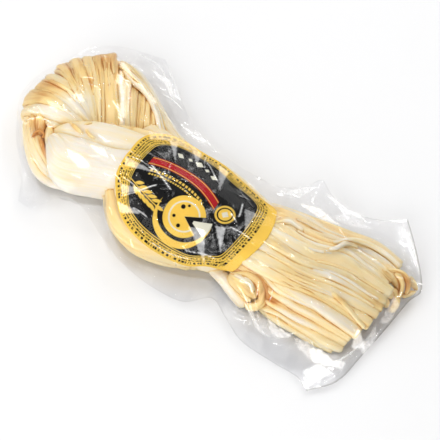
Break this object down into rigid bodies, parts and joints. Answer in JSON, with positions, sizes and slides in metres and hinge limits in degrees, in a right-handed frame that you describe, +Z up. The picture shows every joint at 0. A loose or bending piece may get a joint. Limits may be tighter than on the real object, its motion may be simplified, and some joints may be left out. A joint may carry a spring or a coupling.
{
  "type": "braided string cheese in a vacuum bag",
  "caption": "Braided string cheese in a clear vacuum bag: a twisted skein with a pleated looped head, a wrapped label over the middle and loose strings at the cut end.",
  "frame": {"origin": "under the middle of the pack, at the level of the table it lies on", "axes": "+X from the looped head of the braid to its cut strings, +Y to the far side, +Z up from the table"},
  "size_m": [0.309, 0.155, 0.0442],
  "materials": {
    "film": "clear vacuum film drawn tight over pale yellow cheese",
    "label": "printed label, black with a golden border",
    "cheese": "moist pale string cheese, golden where it dried"
  },
  "bodies": {
    "root": {"sealed_bag": "film", "label": "label"}
  },
  "joints": []
}
